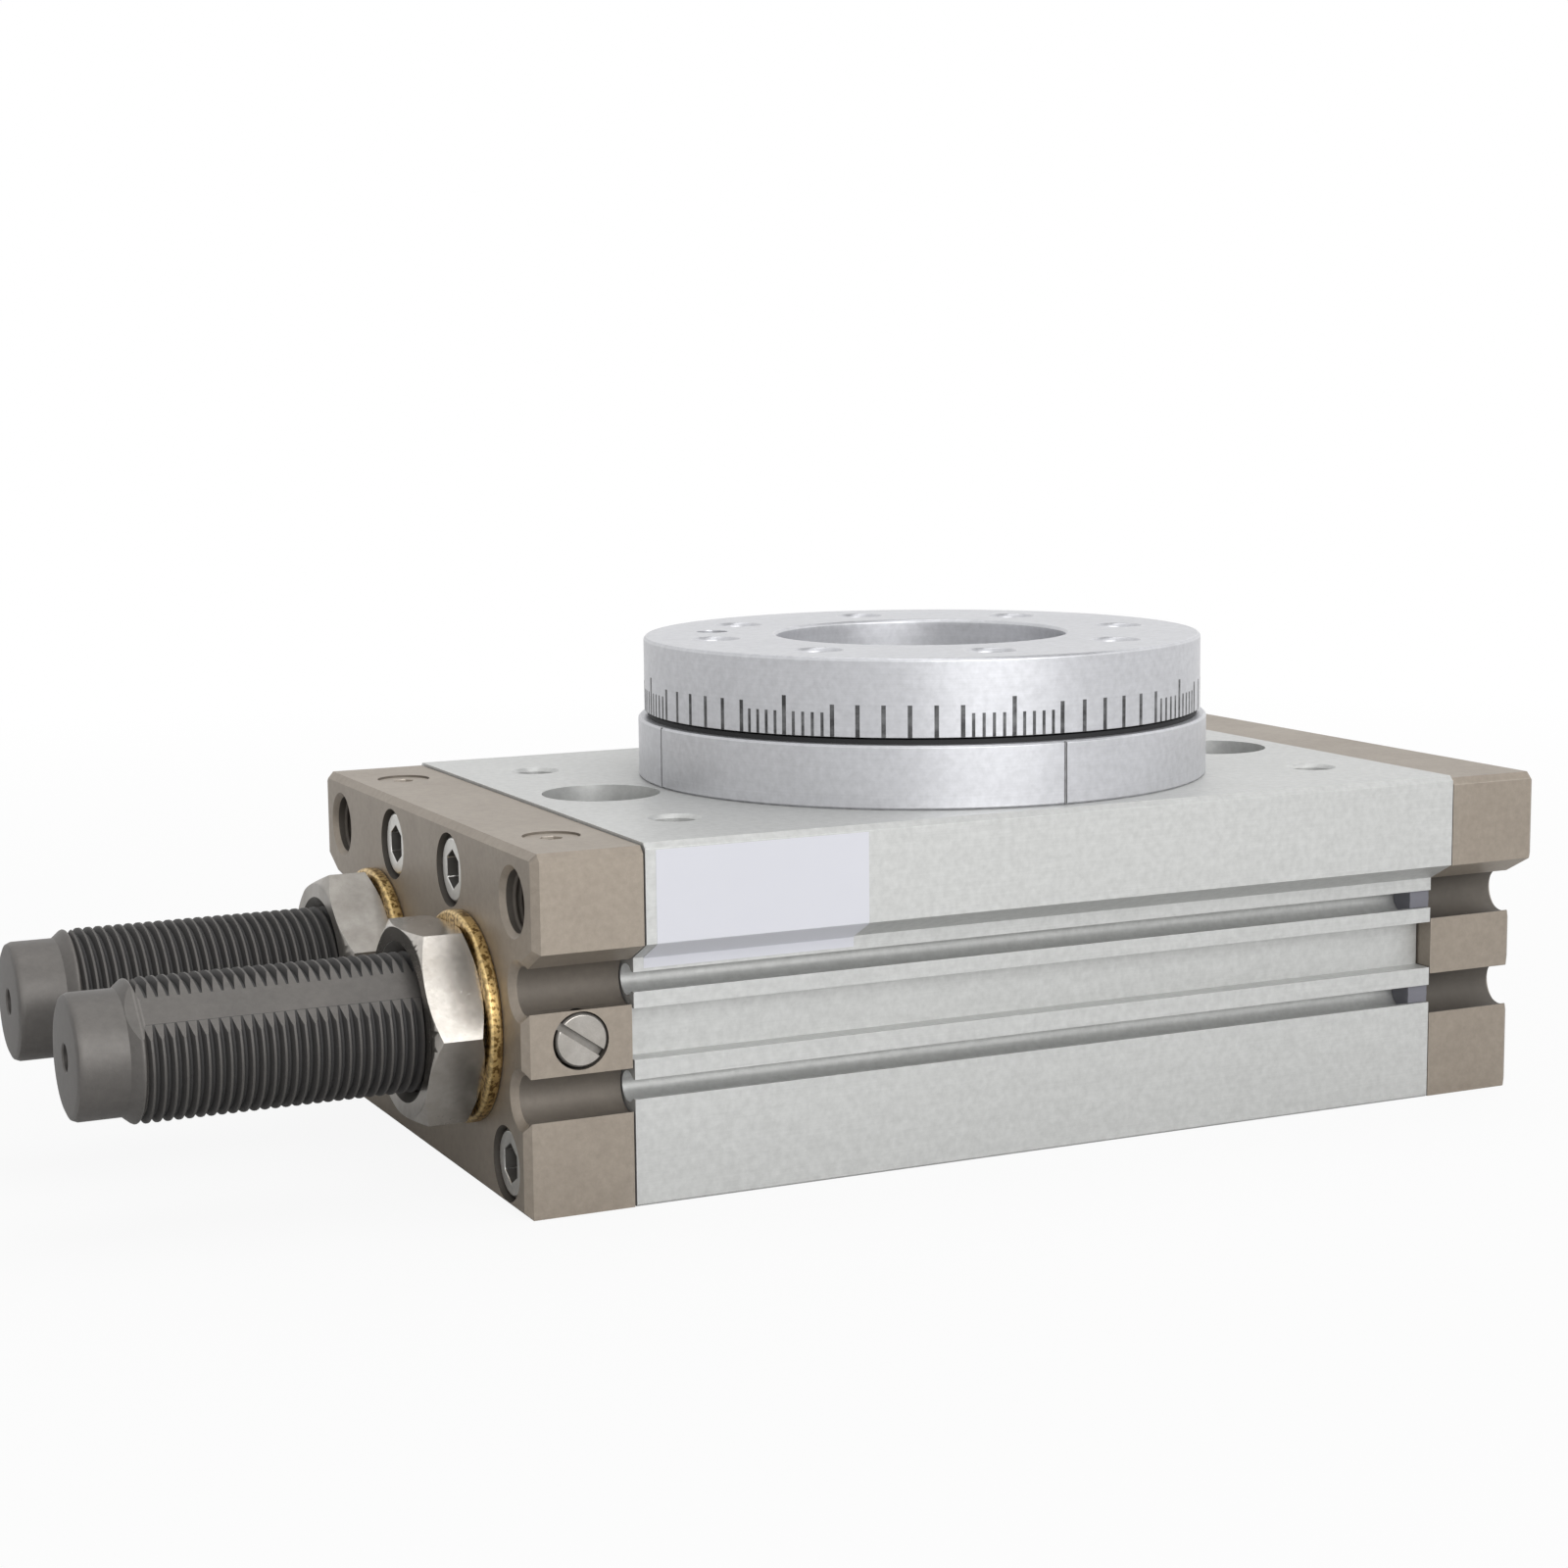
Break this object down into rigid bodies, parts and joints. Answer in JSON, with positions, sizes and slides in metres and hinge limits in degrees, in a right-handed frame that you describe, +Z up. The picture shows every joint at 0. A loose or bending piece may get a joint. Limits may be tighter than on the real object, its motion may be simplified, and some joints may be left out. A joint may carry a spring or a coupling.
{
  "type": "pneumatic rotary actuator",
  "caption": "Compact rotary table actuator: a round table on an aluminium housing, turned by rack pistons on a pinion, with shock absorbers out of one end.",
  "frame": {"origin": "on the table axis at the base plane, midway between the two mounting holes", "axes": "+X along the housing, away from the shock absorbers; +Z up, along the table axis"},
  "size_m": [0.2251, 0.096, 0.074],
  "materials": {
    "body_aluminium": "matte silver anodised extrusion",
    "cover_aluminium": "warm grey anodised",
    "machined_aluminium": "fine turned, clear anodised",
    "seal_rubber": "matte black",
    "zinc_steel": "bright plated",
    "nickel_steel": "nickel plated",
    "bearing_steel": "ground",
    "cage_polymer": "moulded",
    "spring_steel": "black oxide",
    "dark_plastic": "moulded",
    "gear_steel": "hardened and ground",
    "wear_plastic": "low friction",
    "magnet_ferrite": "sintered",
    "absorber_steel": "dark phosphate",
    "rod_chrome": "hard chromed",
    "bush_bronze": "plain bronze",
    "cap_plastic": "tough plastic",
    "washer_brass": "aged"
  },
  "bodies": {
    "housing": {"body": "body_aluminium", "left_end_cover": "cover_aluminium", "right_end_cover": "cover_aluminium", "left_gasket": "seal_rubber", "right_gasket": "seal_rubber", "left_cover_screws": "zinc_steel", "right_cover_screws": "zinc_steel", "cover_top_plugs": "cover_aluminium", "cover_side_plugs": "nickel_steel", "switch_slot_stops": "dark_plastic", "bearing_retainer": "machined_aluminium", "retainer_screws": "zinc_steel", "dust_seal": "seal_rubber", "upper_bearing_outer_ring": "bearing_steel", "upper_bearing_ball_cage": "cage_polymer", "upper_bearing_balls": "bearing_steel", "lower_bearing_outer_ring": "bearing_steel", "lower_bearing_ball_cage": "cage_polymer", "lower_bearing_balls": "bearing_steel", "lower_bearing_circlip": "spring_steel", "near_lock_nut": "nickel_steel", "far_lock_nut": "nickel_steel", "near_seal_washer": "washer_brass", "far_seal_washer": "washer_brass"},
    "table": {"rotary_table": "machined_aluminium", "pinion_shaft": "gear_steel", "table_screws": "zinc_steel", "table_pin": "bearing_steel", "upper_bearing_inner_ring": "bearing_steel", "lower_bearing_inner_ring": "bearing_steel"},
    "near_rack": {"near_rack_piston": "gear_steel", "near_piston_seals": "seal_rubber", "near_wear_rings": "wear_plastic", "near_piston_magnet": "magnet_ferrite"},
    "near_absorber": {"near_absorber_tube": "absorber_steel", "near_rod_bush": "bush_bronze"},
    "near_rod": {"near_absorber_rod": "rod_chrome", "near_rod_cap": "cap_plastic"},
    "far_rack": {"far_rack_piston": "gear_steel", "far_piston_seals": "seal_rubber", "far_wear_rings": "wear_plastic", "far_piston_magnet": "magnet_ferrite"},
    "far_absorber": {"far_absorber_tube": "absorber_steel", "far_rod_bush": "bush_bronze"},
    "far_rod": {"far_absorber_rod": "rod_chrome", "far_rod_cap": "cap_plastic"}
  },
  "joints": [
    {"name": "table_turn", "type": "hinge", "parent": "housing", "child": "table", "pos_m": [0, 0, 0], "axis": [0, 0, 1], "range_deg": [-85, 105]},
    {"name": "near_rack_slide", "type": "slide", "parent": "housing", "child": "near_rack", "axis": [1, 0, 0], "range_m": [-0.0178, 0.02199]},
    {"name": "far_rack_slide", "type": "slide", "parent": "housing", "child": "far_rack", "axis": [1, 0, 0], "range_m": [-0.02199, 0.0178]},
    {"name": "near_absorber_adjust", "type": "slide", "parent": "housing", "child": "near_absorber", "axis": [1, 0, 0], "range_m": [-0.01, 0]},
    {"name": "far_absorber_adjust", "type": "slide", "parent": "housing", "child": "far_absorber", "axis": [1, 0, 0], "range_m": [-0.01, 0]},
    {"name": "near_rod_slide", "type": "slide", "parent": "near_absorber", "child": "near_rod", "axis": [1, 0, 0], "range_m": [-0.015, 0], "stiffness_N_per_m": 530, "springref_m": 0.015},
    {"name": "far_rod_slide", "type": "slide", "parent": "far_absorber", "child": "far_rod", "axis": [1, 0, 0], "range_m": [-0.015, 0], "stiffness_N_per_m": 530, "springref_m": 0.015}
  ],
  "couplings": [
    {"joint": "near_rack_slide", "follows": "table_turn", "m_per_rad": 0.012},
    {"joint": "far_rack_slide", "follows": "table_turn", "m_per_rad": -0.012}
  ]
}
